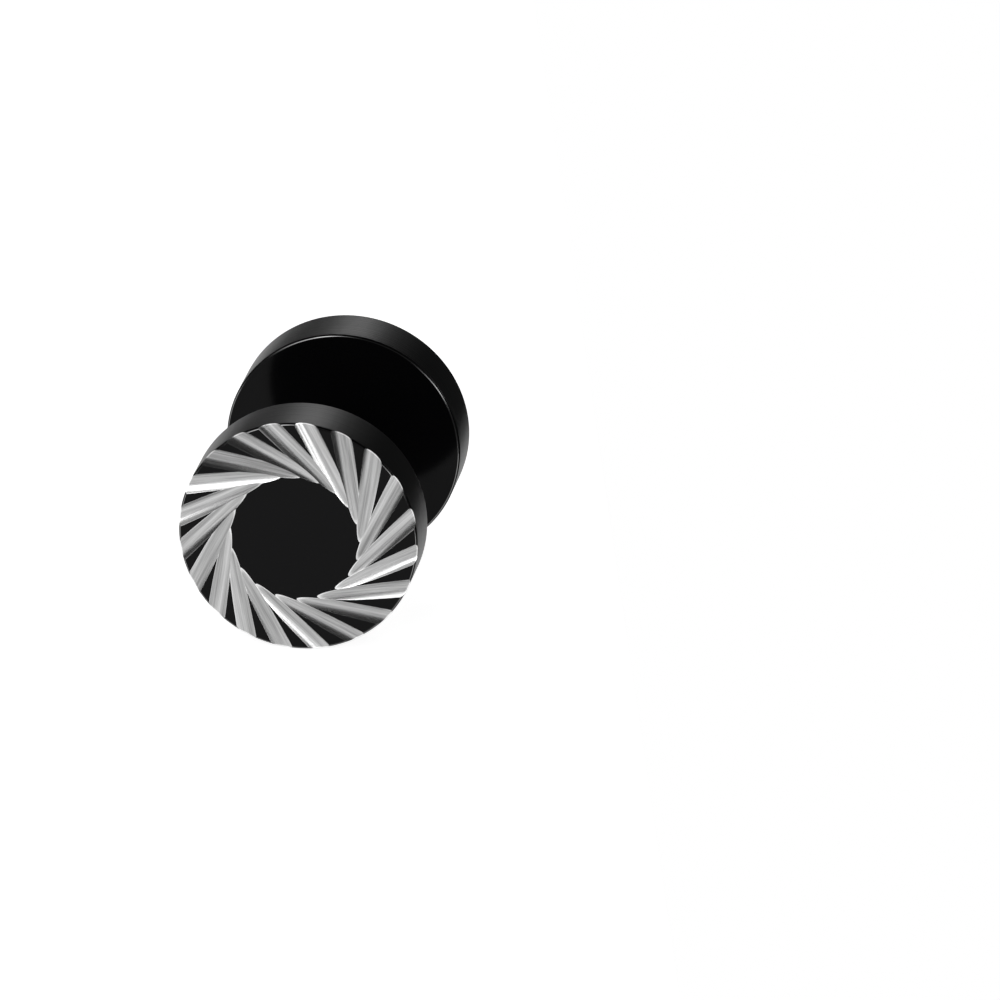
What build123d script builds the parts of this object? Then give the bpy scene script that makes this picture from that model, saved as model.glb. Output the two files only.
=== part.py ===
from build123d import *
import os
from math import atan2, degrees, sqrt

os.makedirs("parts", exist_ok=True)

# A fake plug: two round steel discs on a thin bar, which look like one thick plug when worn.
# It lies on the rims of its discs, with the bar along Y and the cut face towards -Y.
# The origin is on the surface it lies on, under the middle of the bar.

# Discs, in millimetres
disc_diameter = 8.0
front_thickness = 2.0
back_thickness = 2.0
edge_chamfer = 0.1

# Bar: the wear length is the room for the ear lobe, from disc to disc
wear_length = 6.3
post_diameter = 1.2
post_shoulder = 0.2
post_end_chamfer = 0.1
front_seat_floor = 0.7
back_bore_floor = 0.6
end_play = 0.05
front_seat_clearance = 0.02
back_bore_clearance = 0.05

# Swirl of cuts in the front face, each one pass of a round-nosed cutter on a long arm
cut_count = 20
cut_nose_radius = 0.475
cut_arm_length = 60.0
cut_circle_diameter = 4.36
cut_tip_lead = 0.2
cut_overrun = 0.68
first_cut_angle = -44.6

# The swirl isn't quite centred on the disc, nor quite square to it
cut_offset_left = 0.12
cut_lean = 0.33
cut_lean_direction = 112.0

disc_radius = disc_diameter / 2
post_radius = post_diameter / 2
post_end_radius = post_radius - post_shoulder
front_seat_depth = front_thickness - front_seat_floor
back_bore_depth = back_thickness - back_bore_floor

# Planes across the bar as seen from the front, X to the right and Z up
middle = Plane(origin=(0, 0, disc_radius), x_dir=(1, 0, 0), z_dir=(0, -1, 0))
front_inner_face = middle.offset(wear_length / 2)
front_cut_face = front_inner_face.offset(front_thickness)
back_inner_face = middle.offset(-wear_length / 2)

# The rim of each disc begins and ends at its lowest point, where the disc stands
rim_start = Location((0, 0, 0), (0, 0, -90))

# Cutter, as it sweeps the cut whose foot is on X: it runs along Y and rises towards -Y.
# Its nose is lowest just past the disc's rim, and leaves the metal at the tip of the cut.
cut_circle_radius = cut_circle_diameter / 2
lowest_point = sqrt(disc_radius**2 - cut_circle_radius**2) + cut_overrun
tip_to_lowest_point = lowest_point - cut_tip_lead
arm_pivot_height = sqrt(cut_arm_length**2 - tip_to_lowest_point**2)
nose_height = arm_pivot_height - cut_arm_length + cut_nose_radius
swing = 1.15 * degrees(atan2(tip_to_lowest_point, arm_pivot_height))

with BuildPart() as cutter:
    with BuildSketch(Plane.XZ.offset(-lowest_point)):
        with Locations((cut_circle_radius, nose_height)):
            Circle(cut_nose_radius)
    arm_pivot = Axis((cut_circle_radius, lowest_point, arm_pivot_height), (-1, 0, 0))
    revolve(axis=arm_pivot, revolution_arc=swing)

# Front face as it sat under the cutter, a little aside and leaning
jig = (
    front_cut_face.location
    * Location((-cut_offset_left, 0, 0), (0, 0, cut_lean_direction))
    * Location((0, 0, 0), (0, cut_lean, 0))
    * Location((0, 0, 0), (0, 0, -cut_lean_direction))
)

# Front disc: a turned plate with chamfered edges, a blind seat for the bar and the swirl of cuts
with BuildPart() as front_disc:
    with BuildSketch(front_inner_face):
        with Locations(rim_start):
            Circle(disc_radius)
    extrude(amount=front_thickness)
    chamfer(front_disc.edges().filter_by(GeomType.CIRCLE), edge_chamfer)
    with BuildSketch(front_inner_face):
        Circle(post_end_radius + front_seat_clearance)
    extrude(amount=front_seat_depth, mode=Mode.SUBTRACT)
    with Locations(jig):
        with PolarLocations(0, cut_count, start_angle=first_cut_angle):
            add(cutter.part, mode=Mode.SUBTRACT)

# Post: one plain bar whose thinner ends go into the discs, up to its shoulders
with BuildPart() as post:
    with BuildSketch(front_inner_face):
        Circle(post_radius)
    extrude(amount=-wear_length)
    with BuildSketch(front_inner_face):
        Circle(post_end_radius)
    extrude(amount=front_seat_depth - end_play)
    with BuildSketch(back_inner_face):
        Circle(post_end_radius)
    extrude(amount=end_play - back_bore_depth)
    ends = post.faces().filter_by(Axis.Y).sort_by(Axis.Y)
    chamfer(ends[0].edges() + ends[-1].edges(), post_end_chamfer)

# Back disc: a plain turned plate with a blind bore, which comes off the post's far end
with BuildPart() as back_disc:
    with BuildSketch(back_inner_face):
        with Locations(rim_start):
            Circle(disc_radius)
    extrude(amount=-back_thickness)
    chamfer(back_disc.edges().filter_by(GeomType.CIRCLE), edge_chamfer)
    with BuildSketch(back_inner_face):
        Circle(post_end_radius + back_bore_clearance)
    extrude(amount=-back_bore_depth, mode=Mode.SUBTRACT)

front_disc.part.label = "front_disc"
export_step(front_disc.part, "parts/front_disc.step")
post.part.label = "post"
export_step(post.part, "parts/post.step")
back_disc.part.label = "back_disc"
export_step(back_disc.part, "parts/back_disc.step")
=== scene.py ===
import math

import bpy
from mathutils import Matrix, Vector


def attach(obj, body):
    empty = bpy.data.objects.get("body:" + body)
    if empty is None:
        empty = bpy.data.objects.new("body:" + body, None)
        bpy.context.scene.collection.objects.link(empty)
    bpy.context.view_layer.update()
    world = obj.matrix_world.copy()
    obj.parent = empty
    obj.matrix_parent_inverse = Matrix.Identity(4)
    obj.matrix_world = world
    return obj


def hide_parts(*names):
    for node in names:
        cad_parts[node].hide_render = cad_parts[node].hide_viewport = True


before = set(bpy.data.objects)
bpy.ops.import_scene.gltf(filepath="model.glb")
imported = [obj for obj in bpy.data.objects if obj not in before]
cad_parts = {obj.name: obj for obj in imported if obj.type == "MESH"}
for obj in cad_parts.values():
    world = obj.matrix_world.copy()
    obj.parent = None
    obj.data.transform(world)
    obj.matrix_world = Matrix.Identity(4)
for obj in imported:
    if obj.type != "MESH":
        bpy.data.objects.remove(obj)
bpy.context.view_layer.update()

# The front disc: a round plate of stainless steel, turned on a lathe, with both its edges
# rounded off. A blind seat in the middle of its inner face takes the thin end of the post.
mm = 0.001
disc_radius = 4.0 * mm
disc_thickness = 2.0 * mm
edge_radius = 0.1 * mm
edge_steps = 12
round_profile = 0.5
rim_sides = 360
front_face_y = -5.15 * mm
post_height = 4.0 * mm
seat_radius = 0.42 * mm
seat_depth = 1.3 * mm
shading_ring_depths = (0.16 * mm, 0.3 * mm)
close_by = 0.01 * mm
lying_along_y = (math.radians(90), 0, 0)


def deselect_all():
    if bpy.context.object and bpy.context.object.mode != "OBJECT":
        bpy.ops.object.mode_set(mode="OBJECT")
    bpy.ops.object.select_all(action="DESELECT")


def take_up(piece):
    """Select the piece alone and work on it."""
    deselect_all()
    piece.select_set(True)
    bpy.context.view_layer.objects.active = piece


def choose(piece, kind, test):
    """In edit mode, select only the piece's faces or edges that pass the test."""
    bpy.ops.mesh.select_mode(type={"faces": "FACE", "edges": "EDGE"}[kind])
    bpy.ops.mesh.select_all(action="DESELECT")
    bpy.ops.object.mode_set(mode="OBJECT")
    mesh = piece.data
    for element in {"faces": mesh.polygons, "edges": mesh.edges}[kind]:
        element.select = test(element, mesh)
    bpy.ops.object.mode_set(mode="EDIT")


def round_bar(name, radius, length, middle_y, sides):
    """A plain round bar or plate with the post's line as its own, ready to be shaped."""
    deselect_all()
    bpy.ops.mesh.primitive_cylinder_add(
        vertices=sides, radius=radius, depth=length, end_fill_type="NGON",
        location=(0, middle_y, post_height), rotation=lying_along_y,
    )
    bar = bpy.context.object
    bar.name = bar.data.name = name
    bpy.ops.object.transform_apply(location=True, rotation=True, scale=True)
    bpy.ops.object.mode_set(mode="EDIT")
    return bar


def round_plate(name, middle_y):
    """A turned plate across the post, with both edges rounded off."""
    plate = round_bar(name, disc_radius, disc_thickness, middle_y, rim_sides)

    def runs_round_a_face(edge, mesh):
        first, second = (mesh.vertices[index].co for index in edge.vertices)
        return abs(first.y - second.y) < close_by

    choose(plate, "edges", runs_round_a_face)
    bpy.ops.mesh.bevel(offset=edge_radius, segments=edge_steps, profile=round_profile, affect="EDGES")
    return plate


def choose_end(bar, end_y, sides):
    """Select the round flat end of a bar or plate at end_y, whose other faces have few sides."""

    def is_the_end(face, mesh):
        return len(face.vertices) > sides / 2 and abs(face.center.y - end_y) < close_by

    choose(bar, "faces", is_the_end)


def draw_out(length):
    """Extrude what is selected along the post, towards the back if the length is positive."""
    bpy.ops.mesh.extrude_region_move(TRANSFORM_OT_translate={"value": (0, length, 0)})


def blind_hole(plate, face_y, into, radius, depth):
    """A flat-bottomed hole in the middle of the face at face_y, drilled in the direction into."""
    choose_end(plate, face_y, rim_sides)
    bpy.ops.mesh.inset(thickness=disc_radius - edge_radius - radius)
    draw_out(into * depth)
    bpy.ops.object.mode_set(mode="OBJECT")


front_disc = round_plate("front_disc_turned", front_face_y + disc_thickness / 2)
blind_hole(front_disc, front_face_y + disc_thickness, -1, seat_radius, seat_depth)

# Two rings of edges behind the cut face keep the rim's shading even where the cuts reach it
take_up(front_disc)
bpy.ops.object.mode_set(mode="EDIT")
for ring_depth in shading_ring_depths:
    bpy.ops.mesh.select_all(action="SELECT")
    bpy.ops.mesh.bisect(plane_co=(0, front_face_y + ring_depth, 0), plane_no=(0, 1, 0))
bpy.ops.object.mode_set(mode="OBJECT")

# The black of the whole earring: a very thin hard coating on polished steel. It mirrors little
# when seen straight on and much at a glancing angle. The rims have fine turned lines. A narrow,
# lighter and partly metallic line is painted round each face on the rounded edge: partly wear,
# where the steel shines through, and partly a painted highlight.
coating_colour = (0.0016, 0.0016, 0.0018, 1)
coating_ior = 1.18
# The colour of the edge line: partly wear, partly a painted highlight
edge_wear_and_highlight_colour = (0.24, 0.24, 0.24, 1)
edge_line_fully_metallic = 0.12
face_roughness = 0.10
rim_extra_roughness = 0.26
roughness_spread = 0.07
turned_lines_per_metre = 9000.0
turned_line_depth = 0.01 * mm
line_depth_share_on_faces = 0.03
noise_middle = 0.5
line_detail = 3.0
line_sharpness = 0.6
disc_middle_from_origin = abs(front_face_y) - disc_thickness / 2
rim_begins = 0.05 * mm
rim_is_full = 0.01 * mm
edge_line_weight_to_rim = 1.35
edge_line_weight_to_face = 5.0
edge_line_begins = 0.97
edge_line_is_full = 0.75
edge_line_noise_per_metre = 700.0
edge_line_noise_detail = 4.0
edge_line_noise_spread = 0.8
edge_line_noise_middle = 0.9


def worked_out(tree, operation, *values):
    """What a math node gives for the values, each a number or what another node gives."""
    node = tree.nodes.new("ShaderNodeMath")
    node.operation = operation
    for slot, value in enumerate(values):
        if isinstance(value, float):
            node.inputs[slot].default_value = value
        else:
            tree.links.new(value, node.inputs[slot])
    return node.outputs[0]


def ranged(tree, value, from_min, from_max, to_min=0.0, to_max=1.0, way="LINEAR"):
    """The value moved from one range to another and kept within it."""
    node = tree.nodes.new("ShaderNodeMapRange")
    node.interpolation_type = way
    node.inputs["From Min"].default_value = from_min
    node.inputs["From Max"].default_value = from_max
    node.inputs["To Min"].default_value = to_min
    node.inputs["To Max"].default_value = to_max
    tree.links.new(value, node.inputs["Value"])
    return node.outputs["Result"]


def bumped(tree, height, distance, earlier=None):
    """The normal of a surface with this relief, on top of an earlier one's if there is one."""
    node = tree.nodes.new("ShaderNodeBump")
    node.inputs["Distance"].default_value = distance
    tree.links.new(height, node.inputs["Height"])
    if earlier:
        tree.links.new(earlier, node.inputs["Normal"])
    return node.outputs["Normal"]


def new_group(name, takes, gives):
    """An empty node group. A socket whose value is None is for a place, the rest for numbers."""
    group = bpy.data.node_groups.new(name, "ShaderNodeTree")
    for direction, sockets in (("INPUT", takes), ("OUTPUT", gives)):
        for socket, value in sockets.items():
            kind = "NodeSocketVector" if value is None else "NodeSocketFloat"
            made = group.interface.new_socket(name=socket, in_out=direction, socket_type=kind)
            if value is not None:
                made.default_value = value
    inside = group.nodes.new("NodeGroupInput")
    outside = group.nodes.new("NodeGroupOutput")
    return group, inside.outputs, outside.inputs


def placed_group(tree, group, place, values):
    """What a node of the shared group gives at this place, with these values of its own."""
    node = tree.nodes.new("ShaderNodeGroup")
    node.node_tree = group
    tree.links.new(place, node.inputs["Place"])
    for socket, value in values.items():
        node.inputs[socket].default_value = value
    return node.outputs


def new_material(name):
    """A material with one plain shader, its nodes and that shader."""
    made = bpy.data.materials.new(name)
    made.use_nodes = True
    tree = made.node_tree
    tree.nodes.clear()
    output = tree.nodes.new("ShaderNodeOutputMaterial")
    shader = tree.nodes.new("ShaderNodeBsdfPrincipled")
    tree.links.new(shader.outputs["BSDF"], output.inputs["Surface"])
    return made, tree, shader


def tool_marks_group():
    """Lines left by a tool, at a place that is measured across them."""
    group, given, put_out = new_group(
        "tool_marks",
        {"Place": None, "Lines Per Unit": 20.0, "Middle": 0.0, "Spread": 0.1},
        {"Value": 0.0, "Height": 0.0},
    )
    lines = group.nodes.new("ShaderNodeTexNoise")
    lines.inputs["Detail"].default_value = line_detail
    lines.inputs["Roughness"].default_value = line_sharpness
    group.links.new(given["Place"], lines.inputs["Vector"])
    group.links.new(given["Lines Per Unit"], lines.inputs["Scale"])
    centred = worked_out(group, "SUBTRACT", lines.outputs["Fac"], noise_middle)
    value = worked_out(group, "MULTIPLY_ADD", centred, given["Spread"], given["Middle"])
    group.links.new(value, put_out["Value"])
    group.links.new(lines.outputs["Fac"], put_out["Height"])
    return group


def turned_disc_group():
    """The place out from the post's line and along it, where the rim is, and the edge line, part wear
    and part painted highlight.
    """
    group, given, put_out = new_group(
        "turned_disc",
        {
            "Place": None,
            "Radius": disc_radius,
            "Middle": disc_middle_from_origin,
            "Half Thickness": disc_thickness / 2,
            "Width": edge_radius,
        },
        {"Turned Place": None, "Rim": 0.0, "Edge Line": 0.0},
    )
    place = group.nodes.new("ShaderNodeSeparateXYZ")
    group.links.new(given["Place"], place.inputs[0])
    x, y, z = place.outputs
    up = worked_out(group, "SUBTRACT", z, post_height)
    x_squared = worked_out(group, "MULTIPLY", x, x)
    up_squared = worked_out(group, "MULTIPLY", up, up)
    from_post = worked_out(group, "SQRT", worked_out(group, "ADD", x_squared, up_squared))
    turned = group.nodes.new("ShaderNodeCombineXYZ")
    group.links.new(from_post, turned.inputs[0])
    group.links.new(y, turned.inputs[1])
    group.links.new(turned.outputs[0], put_out["Turned Place"])

    # The rim is told from the faces by how near it is to the disc's full radius
    to_rim = worked_out(group, "SUBTRACT", given["Radius"], from_post)
    group.links.new(ranged(group, to_rim, rim_begins, rim_is_full), put_out["Rim"])

    # The edge line, part wear and part painted highlight, lies on the rounded edge, on the part of it
    # that is next to the face
    off_middle = worked_out(group, "SUBTRACT", worked_out(group, "ABSOLUTE", y), given["Middle"])
    from_middle = worked_out(group, "ABSOLUTE", off_middle)
    to_face = worked_out(group, "SUBTRACT", given["Half Thickness"], from_middle)
    weighed_to_rim = worked_out(group, "MULTIPLY", to_rim, edge_line_weight_to_rim)
    weighed_to_face = worked_out(group, "MULTIPLY", to_face, edge_line_weight_to_face)
    farther = worked_out(group, "MAXIMUM", weighed_to_rim, weighed_to_face)
    share = worked_out(group, "DIVIDE", farther, given["Width"])
    line = ranged(group, share, edge_line_begins, edge_line_is_full, way="SMOOTHSTEP")
    edge_line_noise = group.nodes.new("ShaderNodeTexNoise")
    edge_line_noise.inputs["Scale"].default_value = edge_line_noise_per_metre
    edge_line_noise.inputs["Detail"].default_value = edge_line_noise_detail
    group.links.new(given["Place"], edge_line_noise.inputs["Vector"])
    centred = worked_out(group, "SUBTRACT", edge_line_noise.outputs["Fac"], noise_middle)
    uneven = worked_out(group, "MULTIPLY_ADD", centred, edge_line_noise_spread, edge_line_noise_middle)
    group.links.new(worked_out(group, "MULTIPLY", line, uneven), put_out["Edge Line"])
    return group


tool_marks = tool_marks_group()
turned_disc = turned_disc_group()

black_coating, tree, shader = new_material("black_coating_polished")
shader.inputs["IOR"].default_value = coating_ior
place = tree.nodes.new("ShaderNodeTexCoord")
disc = placed_group(tree, turned_disc, place.outputs["Object"], {})
# Painted highlight and wear: a lighter, partly metallic line on the rounded edges
edge_line_mix = tree.nodes.new("ShaderNodeMix")
edge_line_mix.data_type = "RGBA"
edge_line_mix.inputs["A"].default_value = coating_colour
edge_line_mix.inputs["B"].default_value = edge_wear_and_highlight_colour
tree.links.new(disc["Edge Line"], edge_line_mix.inputs["Factor"])
tree.links.new(edge_line_mix.outputs["Result"], shader.inputs["Base Color"])
edge_line_metal = ranged(tree, disc["Edge Line"], 0.0, edge_line_fully_metallic)
tree.links.new(edge_line_metal, shader.inputs["Metallic"])
marks = placed_group(tree, tool_marks, disc["Turned Place"], {
    "Lines Per Unit": turned_lines_per_metre,
    "Middle": face_roughness,
    "Spread": roughness_spread,
})
satin = worked_out(tree, "MULTIPLY_ADD", disc["Rim"], rim_extra_roughness, marks["Value"])
tree.links.new(satin, shader.inputs["Roughness"])
deeper_on_rim = ranged(tree, disc["Rim"], 0.0, 1.0, line_depth_share_on_faces)
turned_lines = worked_out(tree, "MULTIPLY", marks["Height"], deeper_on_rim)
tree.links.new(bumped(tree, turned_lines, turned_line_depth), shader.inputs["Normal"])

# The swirl: twenty cuts milled through the black into the bare steel of the front face. Each is
# one pass of a small round-nosed cutter on a long arm, deepest at the rim, shallowest inside.
cut_count = 20
nose_radius = 0.475 * mm
arm_length = 60.0 * mm
cut_circle_radius = 2.18 * mm
cut_tip_lead = 0.2 * mm
cut_overrun = 0.68 * mm
first_cut_angle = math.radians(-44.6)
cut_offset_left = 0.12 * mm
cut_lean = math.radians(0.33)
cut_lean_direction = math.radians(112)
nose_sides = 128
sweep_steps = 28
sweep_past_the_tip = 1.15

lowest_point = math.sqrt(disc_radius**2 - cut_circle_radius**2) + cut_overrun
tip_to_lowest_point = lowest_point - cut_tip_lead
arm_pivot_height = math.sqrt(arm_length**2 - tip_to_lowest_point**2)
nose_height = arm_pivot_height - arm_length + nose_radius
swing = sweep_past_the_tip * math.atan2(tip_to_lowest_point, arm_pivot_height)

steel_tone = 0.365
# Painted highlight: the cut's border and outer end are painted lighter, for the glint of their sharp
# edges
painted_border_glint_tone = 0.70
painted_border_glint_depth = 0.014 * mm
painted_end_glint_tone = 0.30
steel_anisotropy = 0.95
sheen_across_the_cut = 0.25
marks_stretch = (0.03, 1.0, 1.0)
band_depth = 0.004 * mm
scratch_depth = 0.001 * mm
marks_shift_along = 211.0
marks_shift_across = 3.7
bare_steel = 1

steel_cut, tree, shader = new_material("bare_steel_cut")
shader.inputs["Metallic"].default_value = 1.0
shader.inputs["Anisotropic"].default_value = steel_anisotropy
shader.inputs["Anisotropic Rotation"].default_value = sheen_across_the_cut
along_cut = tree.nodes.new("ShaderNodeTangent")
along_cut.direction_type = "UV_MAP"
along_cut.uv_map = "along_cut"
tree.links.new(along_cut.outputs["Tangent"], shader.inputs["Tangent"])
cut_place = tree.nodes.new("ShaderNodeUVMap")
cut_place.uv_map = "along_cut"
stretch = tree.nodes.new("ShaderNodeMapping")
stretch.inputs["Scale"].default_value = marks_stretch
tree.links.new(cut_place.outputs["UV"], stretch.inputs["Vector"])
marks = {}
for name, lines_per_mm, middle, spread in (
    ("bands", 4.0, 0.0, 0.8),
    ("scratches", 20.0, 0.0, 0.35),
    ("satin", 31.0, 0.19, 0.10),
):
    marks[name] = placed_group(tree, tool_marks, stretch.outputs["Vector"], {
        "Lines Per Unit": lines_per_mm,
        "Middle": middle,
        "Spread": spread,
    })

# A cut is painted brighter along its border, where it comes out of the face, and at its outer end: a
# painted highlight for the glint of its sharp edges
steel_place = tree.nodes.new("ShaderNodeTexCoord")
steel_depth = tree.nodes.new("ShaderNodeSeparateXYZ")
tree.links.new(steel_place.outputs["Object"], steel_depth.inputs[0])
border_glint = ranged(
    tree, steel_depth.outputs["Y"], front_face_y + painted_border_glint_depth, front_face_y,
    steel_tone, painted_border_glint_tone, "SMOOTHSTEP",
)
steel_disc = placed_group(tree, turned_disc, steel_place.outputs["Object"], {})
end_glint = ranged(tree, steel_disc["Rim"], 0.0, 1.0, 0.0, painted_end_glint_tone, "SMOOTHSTEP")
glint_tone = worked_out(tree, "ADD", border_glint, end_glint)
marks_tone = worked_out(tree, "ADD", marks["bands"]["Value"], marks["scratches"]["Value"])
tone = worked_out(tree, "ADD", glint_tone, marks_tone)
tone.node.use_clamp = True
tree.links.new(tone, shader.inputs["Base Color"])
tree.links.new(marks["satin"]["Value"], shader.inputs["Roughness"])
bands = bumped(tree, marks["bands"]["Height"], band_depth)
scratches = bumped(tree, marks["scratches"]["Height"], scratch_depth, bands)
tree.links.new(scratches, shader.inputs["Normal"])

front_disc.data.materials.append(black_coating)
front_disc.data.materials.append(steel_cut)

deselect_all()
bpy.ops.mesh.primitive_circle_add(
    vertices=nose_sides, radius=nose_radius, fill_type="NOTHING",
    location=(cut_circle_radius, lowest_point, nose_height), rotation=lying_along_y,
)
cutter = bpy.context.object
cutter.name = "cutter"
bpy.ops.object.transform_apply(location=True, rotation=True, scale=True)
bpy.ops.object.mode_set(mode="EDIT")
bpy.ops.mesh.select_all(action="SELECT")
bpy.ops.mesh.spin(
    steps=sweep_steps, angle=swing, axis=(1, 0, 0),
    center=(cut_circle_radius, lowest_point, arm_pivot_height),
)
bpy.ops.mesh.select_mode(type="EDGE")
bpy.ops.mesh.select_all(action="DESELECT")
bpy.ops.mesh.select_non_manifold()
bpy.ops.mesh.edge_face_add()
bpy.ops.mesh.select_all(action="SELECT")
bpy.ops.mesh.normals_make_consistent(inside=False)
bpy.ops.object.mode_set(mode="OBJECT")
cutter.data.materials.append(black_coating)
cutter.data.materials.append(steel_cut)
for face in cutter.data.polygons:
    face.material_index = bare_steel

# Along the cut and round the nose, in millimetres, for the marks that the tool leaves
along_cut_map = cutter.data.uv_layers.new(name="along_cut")
nose_middle = arm_length - nose_radius
for corner in cutter.data.loops:
    point = cutter.data.vertices[corner.vertex_index].co
    below_pivot = arm_pivot_height - point.z
    before_pivot = lowest_point - point.y
    along = math.atan2(before_pivot, below_pivot) * arm_length
    from_nose_middle = math.hypot(before_pivot, below_pivot) - nose_middle
    around = math.atan2(point.x - cut_circle_radius, from_nose_middle) * nose_radius
    along_cut_map.data[corner.index].uv = (along / mm, around / mm)

# The face as it sat under the cutter: X to the right, Y up, Z out of the face
face_frame = Matrix(((1, 0, 0, 0), (0, 0, -1, front_face_y), (0, 1, 0, post_height), (0, 0, 0, 1)))
jig = (
    face_frame
    @ Matrix.Translation((-cut_offset_left, 0, 0))
    @ Matrix.Rotation(cut_lean_direction, 4, "Z")
    @ Matrix.Rotation(cut_lean, 4, "Y")
    @ Matrix.Rotation(-cut_lean_direction, 4, "Z")
)
for cut in range(cut_count):
    take_up(cutter)
    bpy.ops.object.duplicate(linked=False)
    one_pass = bpy.context.object
    cut_angle = first_cut_angle + math.tau * cut / cut_count
    one_pass.matrix_world = jig @ Matrix.Rotation(cut_angle, 4, "Z")
    bpy.ops.object.transform_apply(location=True, rotation=True, scale=True)
    for place_on_map in one_pass.data.uv_layers["along_cut"].data:
        place_on_map.uv[0] += marks_shift_along * cut
        place_on_map.uv[1] += marks_shift_across * cut
    milled = front_disc.modifiers.new("milled", "BOOLEAN")
    milled.operation = "DIFFERENCE"
    milled.solver = "EXACT"
    milled.object = one_pass
    bpy.context.view_layer.objects.active = front_disc
    bpy.ops.object.modifier_apply(modifier=milled.name)
    bpy.data.objects.remove(one_pass)
bpy.data.objects.remove(cutter)

merge_distance = 0.001 * mm
crisp_angle = math.radians(9)


def finish_turned(piece):
    """Crisp where two cuts or a cut and the black meet, smooth everywhere else."""
    take_up(piece)
    bpy.ops.object.mode_set(mode="EDIT")
    bpy.ops.mesh.select_all(action="SELECT")
    bpy.ops.mesh.remove_doubles(threshold=merge_distance)
    bpy.ops.mesh.quads_convert_to_tris(quad_method="BEAUTY", ngon_method="BEAUTY")
    choose(piece, "faces", lambda face, mesh: face.material_index == bare_steel)
    bpy.ops.mesh.region_to_loop()
    bpy.ops.mesh.mark_sharp()
    bpy.ops.object.mode_set(mode="OBJECT")
    bpy.ops.object.shade_smooth_by_angle(angle=crisp_angle, keep_sharp_edges=True)


finish_turned(front_disc)
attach(front_disc, "root")
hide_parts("front_disc")

# The post: one plain bar of black coated steel, 1.2 mm thick. Its thinner front end is fixed in
# the front disc for good, and the back disc goes on its thinner back end up to the shoulder.
post_radius = 0.6 * mm
post_end_radius = 0.4 * mm
post_length = 6.3 * mm
front_end_length = 1.25 * mm
back_end_length = 1.35 * mm
end_chamfer = 0.1 * mm
end_taper = 1 - end_chamfer / post_end_radius
post_sides = 96

post = round_bar("post_turned", post_radius, post_length, 0, post_sides)
for into, length in ((-1, front_end_length), (1, back_end_length)):
    choose_end(post, into * post_length / 2, post_sides)
    bpy.ops.mesh.inset(thickness=post_radius - post_end_radius)
    draw_out(into * (length - end_chamfer))
    draw_out(into * end_chamfer)
    bpy.ops.transform.resize(
        value=(end_taper, 1, end_taper), center_override=(0, 0, post_height)
    )
bpy.ops.object.mode_set(mode="OBJECT")
post.data.materials.append(black_coating)
finish_turned(post)
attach(post, "root")
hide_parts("post")

# The back disc: a plain plate like the front one without its cuts, also turned, polished and
# coated black. A blind hole in its inner face takes the post's end, so that it comes off.
back_inner_face_y = 3.15 * mm
bore_radius = 0.45 * mm
bore_depth = 1.4 * mm

back_disc = round_plate("back_disc_turned", back_inner_face_y + disc_thickness / 2)
blind_hole(back_disc, back_inner_face_y, 1, bore_radius, bore_depth)
back_disc.data.materials.append(black_coating)
finish_turned(back_disc)
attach(back_disc, "back")
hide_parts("back_disc")

# The table that the earring lies on: a plain white sheet of plastic, which glows a little: painted
# light that keeps the shadows on it faint. Its right end comes close to the earring, so that the
# polished black mirrors the dark room there.
table_side = 0.5
table_reach = 9.8 * mm
table_turn = math.radians(12.0)
table_drop = 0.01 * mm
table_white = (0.8, 0.8, 0.8, 1)
table_roughness = 0.9
table_glow_colour = (1, 1, 1, 1)
# Painted light: the table glows by itself, which keeps the shadows on it faint
table_glow = 0.84

white_table, tree, shader = new_material("white_table")
shader.inputs["Base Color"].default_value = table_white
shader.inputs["Roughness"].default_value = table_roughness
shader.inputs["Specular IOR Level"].default_value = 0.0
shader.inputs["Emission Color"].default_value = table_glow_colour
shader.inputs["Emission Strength"].default_value = table_glow

deselect_all()
bpy.ops.mesh.primitive_plane_add(
    size=table_side, location=(table_reach - table_side / 2, 0, -table_drop)
)
table = bpy.context.object
table.name = "table"
bpy.ops.object.transform_apply(location=True, rotation=True, scale=True)
bpy.ops.object.mode_set(mode="EDIT")
bpy.ops.mesh.select_all(action="SELECT")
bpy.ops.transform.rotate(value=-table_turn, orient_axis="Z", center_override=(0, 0, 0))
bpy.ops.object.mode_set(mode="OBJECT")
table.data.materials.append(white_table)

# The studio light: round soft boxes about the table, set by their direction from the earring.
# The room between them is dark, which keeps the black of the coating deep. The camera sees a
# white backdrop instead.
box_distance = 0.5
box_middle = (0.5, 0.5, 0.0)
box_edge = 0.5


def soft_box(name, azimuth, elevation, width, height, radiance, full=0.1):
    """A soft box that faces the earring, even up to full and fading from there to its edge."""
    panel = bpy.data.lights.new(name, "AREA")
    panel.shape = "ELLIPSE"
    panel.size, panel.size_y = width, height
    area = math.pi / 4 * width * height
    panel.energy = radiance * math.pi * area
    panel.use_nodes = True
    tree = panel.node_tree
    across = tree.nodes.new("ShaderNodeTexCoord")
    from_middle = tree.nodes.new("ShaderNodeVectorMath")
    from_middle.operation = "DISTANCE"
    from_middle.inputs[1].default_value = box_middle
    tree.links.new(across.outputs["UV"], from_middle.inputs[0])
    fade = ranged(tree, from_middle.outputs["Value"], box_edge, full, way="SMOOTHSTEP")
    tree.links.new(fade, tree.nodes["Emission"].inputs["Strength"])
    placed = bpy.data.objects.new(name, panel)
    bpy.context.scene.collection.objects.link(placed)
    turn, rise = math.radians(azimuth), math.radians(elevation)
    level = math.cos(rise)
    outward = Vector((math.sin(turn) * level, -math.cos(turn) * level, math.sin(rise)))
    placed.location = Vector((0, 0, post_height)) + box_distance * outward
    placed.rotation_euler = outward.to_track_quat("Z", "Y").to_euler()
    placed.visible_camera = False


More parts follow.
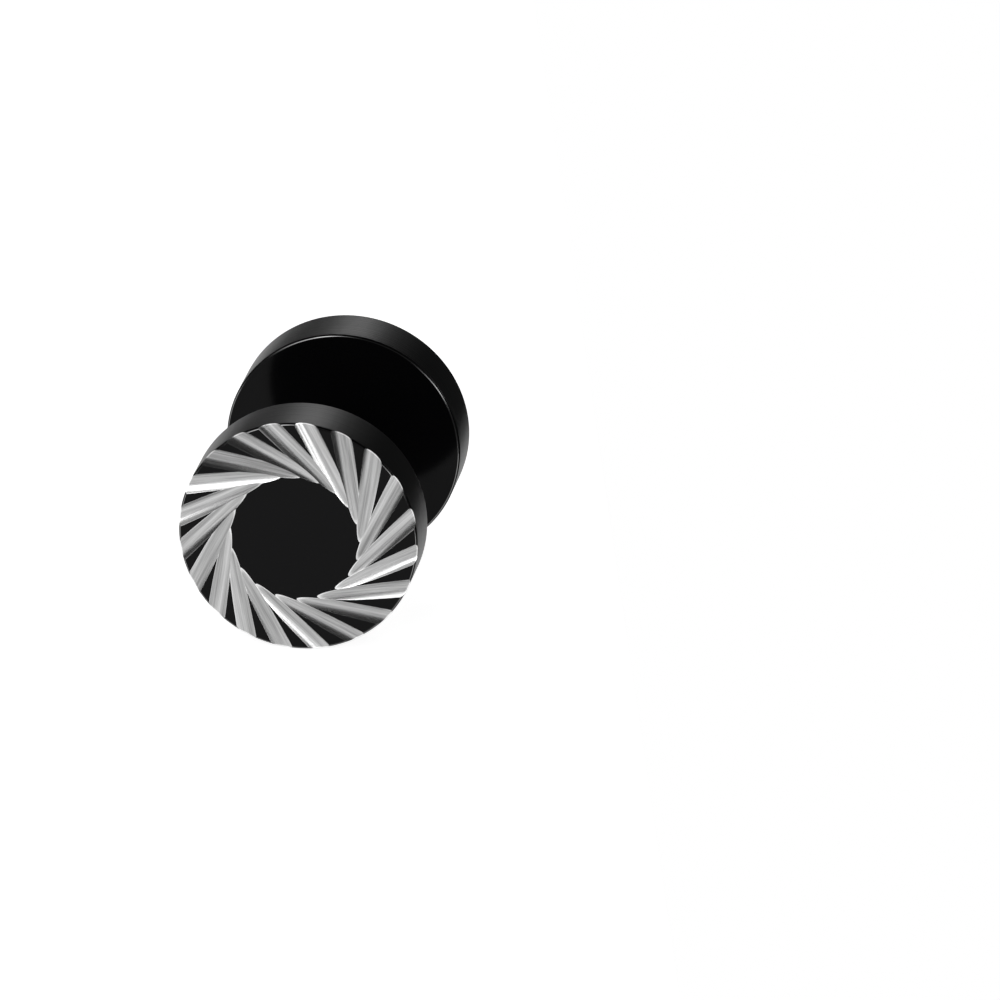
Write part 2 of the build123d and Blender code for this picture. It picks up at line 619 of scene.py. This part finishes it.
soft_box("light_behind", 186, 27, 0.23, 0.20, 5.2)
soft_box("light_behind_wide", 190, 22, 0.60, 0.40, 0.6)
soft_box("light_left", -124, 12, 0.28, 0.26, 5.2)
soft_box("light_key", -23, 12, 0.24, 0.26, 7.5)
soft_box("light_key_high", -30, 30, 0.46, 0.34, 1.2)
soft_box("light_key_middle", -22, 34, 0.15, 0.20, 3.5)
soft_box("light_key_top", -48, 58, 0.24, 0.20, 3.6)
soft_box("light_left_fill", -76, 34, 0.44, 0.40, 1.0)
soft_box("light_right_low", 21, 2, 0.20, 0.20, 6.8)
soft_box("light_right", 43, 12, 0.20, 0.22, 5.4)
soft_box("light_right_fill", 68, 34, 0.28, 0.28, 0.9)
soft_box("light_edge", 108, 20, 0.09, 0.09, 40.0, 0.3)

white_light = (1, 1, 1, 1)
room_brightness = 0.05
backdrop_brightness = 1.0

world = bpy.data.worlds.new("studio")
bpy.context.scene.world = world
world.use_nodes = True
tree = world.node_tree
room = tree.nodes["Background"]
room.inputs["Color"].default_value = white_light
room.inputs["Strength"].default_value = room_brightness
backdrop = tree.nodes.new("ShaderNodeBackground")
backdrop.inputs["Color"].default_value = white_light
backdrop.inputs["Strength"].default_value = backdrop_brightness
ray = tree.nodes.new("ShaderNodeLightPath")
seen = tree.nodes.new("ShaderNodeMixShader")
tree.links.new(ray.outputs["Is Camera Ray"], seen.inputs["Fac"])
tree.links.new(room.outputs["Background"], seen.inputs[1])
tree.links.new(backdrop.outputs["Background"], seen.inputs[2])
tree.links.new(seen.outputs["Shader"], tree.nodes["World Output"].inputs["Surface"])

# The camera: a long lens from the front, a little to the right and above, with the earring at
# the left of the picture.
camera_azimuth = math.radians(9.474)
camera_elevation = math.radians(21.8)
camera_distance = 315.6 * mm
camera_aim = Vector((6.4845, -3.5228, 5.0975)) * mm
focal_length = 344.8
film_width = 36.0
nearest_seen = 0.01
farthest_seen = 10.0

lens = bpy.data.cameras.new("camera")
lens.lens = focal_length
lens.sensor_width = film_width
lens.clip_start, lens.clip_end = nearest_seen, farthest_seen
camera = bpy.data.objects.new("camera", lens)
bpy.context.scene.collection.objects.link(camera)
camera.rotation_euler = (math.radians(90) - camera_elevation, 0, camera_azimuth)
camera.location = camera_aim + camera_distance * Vector((
    math.sin(camera_azimuth) * math.cos(camera_elevation),
    -math.cos(camera_azimuth) * math.cos(camera_elevation),
    math.sin(camera_elevation),
))
bpy.context.scene.camera = camera
bpy.context.scene.view_settings.view_transform = "Standard"
